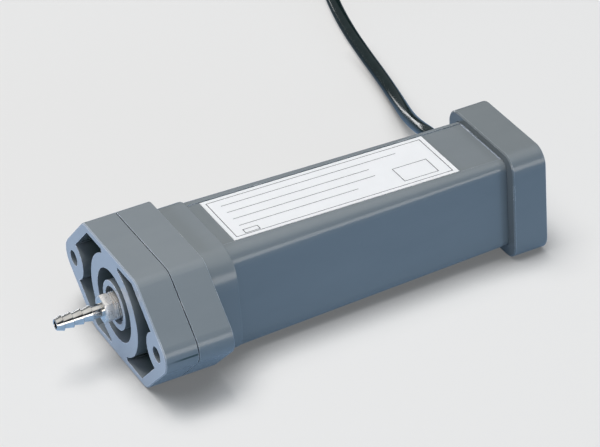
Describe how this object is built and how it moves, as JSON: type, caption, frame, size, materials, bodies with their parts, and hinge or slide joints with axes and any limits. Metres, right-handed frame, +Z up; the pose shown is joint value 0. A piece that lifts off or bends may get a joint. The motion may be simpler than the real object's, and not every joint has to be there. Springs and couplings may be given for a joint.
{
  "type": "barometric pressure sensor",
  "caption": "Barometric pressure sensor: square tapered plastic case, hexagonal screw flange with a hose barb, and a signal cable from the rear cap.",
  "frame": {"origin": "under the middle of the case and its hose barb, on the surface the sensor rests on", "axes": "+X from the hose barb to the rear cap, +Y across the two screw holes towards the side the cable leaves, +Z up from the resting surface"},
  "size_m": [0.2385, 0.2262, 0.0333],
  "materials": {
    "case_plastic": "fine-grained grey moulding",
    "seal_rubber": "plain black rubber",
    "label_film": "white printable film",
    "nickel": "bright nickel plate",
    "hose_rubber": "milky silicone tube",
    "board_laminate": "green solder mask",
    "cell_plastic": "dark moulding",
    "can_steel": "plain stamped lid",
    "can_aluminium": "drawn can",
    "tin": "solder tinned",
    "chip_plastic": "black moulding",
    "connector_plastic": "natural nylon",
    "gland_rubber": "plain black rubber",
    "cable_jacket": "smooth dark jacket",
    "strap_plastic": "black strap",
    "sleeve_plastic": "black shrink sleeve",
    "lead_brown": "insulated lead",
    "lead_white": "insulated lead",
    "lead_blue": "insulated lead",
    "lead_black": "insulated lead",
    "lead_grey": "insulated lead"
  },
  "bodies": {
    "root": {"port_cover": "case_plastic", "cover_gasket": "seal_rubber", "housing": "case_plastic", "end_cap": "case_plastic", "label_plate": "label_film", "port_fitting": "nickel", "fitting_washer": "seal_rubber", "inner_hose": "hose_rubber", "circuit_board": "board_laminate", "pressure_cell": "cell_plastic", "cell_lid": "can_steel", "cell_pins": "tin", "controller_chip": "chip_plastic", "converter_chip": "chip_plastic", "transceiver_chip": "chip_plastic", "crystal_can": "can_steel", "reservoir_can": "can_aluminium", "board_header": "connector_plastic", "wire_plug": "connector_plastic", "core_wires": "lead_white", "cable_gland": "gland_rubber", "cable_inner": "cable_jacket", "strain_band": "strap_plastic", "cable": "cable_jacket", "cable_tail": "cable_jacket", "cable_coil": "cable_jacket", "coil_strap": "strap_plastic", "cable_sleeve": "sleeve_plastic", "lead_brown": "lead_brown", "lead_white": "lead_white", "lead_blue": "lead_blue", "lead_black": "lead_black", "lead_grey": "lead_grey", "tinned_ends": "tin"}
  },
  "joints": []
}
